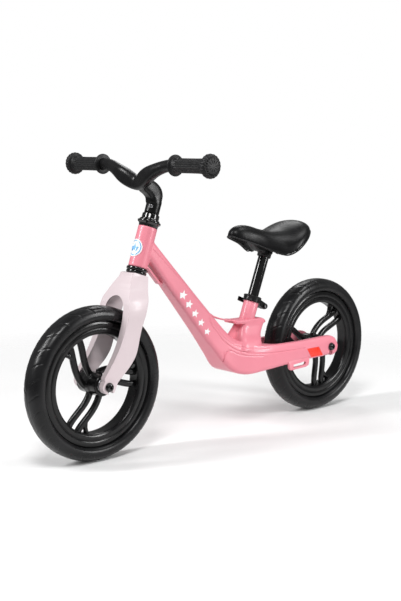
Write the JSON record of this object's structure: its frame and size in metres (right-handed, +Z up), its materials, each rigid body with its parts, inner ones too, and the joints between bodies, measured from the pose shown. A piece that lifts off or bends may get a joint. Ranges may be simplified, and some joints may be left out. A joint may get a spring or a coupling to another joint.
{
  "type": "balance bike",
  "caption": "Children's balance bike: low step-through frame, swept moulded wheels, foam tyres, turning fork and bar, padded saddle on a quick-release post.",
  "frame": {"origin": "On the ground, on the middle plane, midway between the two hubs.", "axes": "+X points forward from the rear hub to the front hub, +Y to the rider's left, +Z up."},
  "size_m": [0.89, 0.418, 0.5661],
  "materials": {
    "frame_paint": "satin pink paint",
    "fork_paint": "satin pinkish ivory paint",
    "gloss_black": "gloss black",
    "satin_black": "satin black",
    "wheel_plastic": "gloss moulded",
    "tyre": "satin foam rubber",
    "grip": "matte ribbed",
    "saddle": "satin leathercloth",
    "steel": "bright",
    "nylon": "moulded",
    "reflector": "clear prismatic",
    "badge": "gloss disc"
  },
  "bodies": {
    "frame": {"frame": "frame_paint", "reflector_left": "reflector", "reflector_right": "reflector", "head_badge": "badge", "headset_lower_cup": "gloss_black", "headset_upper_cup": "gloss_black", "headset_bearing_lower": "steel", "headset_bearing_upper": "steel", "seat_tube_sleeve": "nylon", "seat_clamp": "satin_black", "clamp_skewer": "steel", "clamp_nut": "satin_black", "lever_pin": "steel", "rear_axle": "steel", "rear_axle_bolt_left": "gloss_black", "rear_axle_bolt_right": "gloss_black", "rear_axle_spacer_left": "steel", "rear_axle_spacer_right": "steel"},
    "fork": {"fork": "fork_paint", "crown_race": "gloss_black", "headset_lock_nut": "gloss_black", "front_axle": "steel", "front_axle_bolt_left": "gloss_black", "front_axle_bolt_right": "gloss_black", "front_axle_spacer_left": "steel", "front_axle_spacer_right": "steel"},
    "handlebar": {"handlebar": "satin_black", "column_clamp_bolt": "steel", "grip_left": "grip", "grip_right": "grip"},
    "front_wheel": {"front_tyre": "tyre", "front_rim": "wheel_plastic", "front_bearing_left": "steel", "front_bearing_right": "steel", "front_hub_sleeve": "steel"},
    "rear_wheel": {"rear_tyre": "tyre", "rear_rim": "wheel_plastic", "rear_bearing_left": "steel", "rear_bearing_right": "steel", "rear_hub_sleeve": "steel"},
    "seat": {"seat_post": "gloss_black", "seat_post_plug": "nylon", "saddle_base": "nylon", "saddle_cover": "saddle", "saddle_bolt_left": "steel", "saddle_bolt_right": "steel"},
    "lever": {"clamp_lever": "satin_black"}
  },
  "joints": [
    {"name": "steering", "type": "hinge", "parent": "frame", "child": "fork", "pos_m": [0.1958, 0, 0.3518], "axis": [-0.3256, 0, 0.9455], "range_deg": [-90, 90]},
    {"name": "handlebar_height", "type": "slide", "parent": "fork", "child": "handlebar", "axis": [-0.3256, 0, 0.9455], "range_m": [0, 0.02]},
    {"name": "front_wheel_spin", "type": "hinge", "parent": "fork", "child": "front_wheel", "pos_m": [0.3, 0, 0.145], "axis": [0, 1, 0], "continuous": true},
    {"name": "rear_wheel_spin", "type": "hinge", "parent": "frame", "child": "rear_wheel", "pos_m": [-0.3, 0, 0.145], "axis": [0, 1, 0], "continuous": true},
    {"name": "seat_height", "type": "slide", "parent": "frame", "child": "seat", "axis": [-0.36, 0, 0.933], "range_m": [-0.05, 0.02]},
    {"name": "clamp_lever", "type": "hinge", "parent": "frame", "child": "lever", "pos_m": [-0.13836, -0.0165, 0.24523], "axis": [0.36, 0, -0.933], "range_deg": [0, 100]}
  ]
}
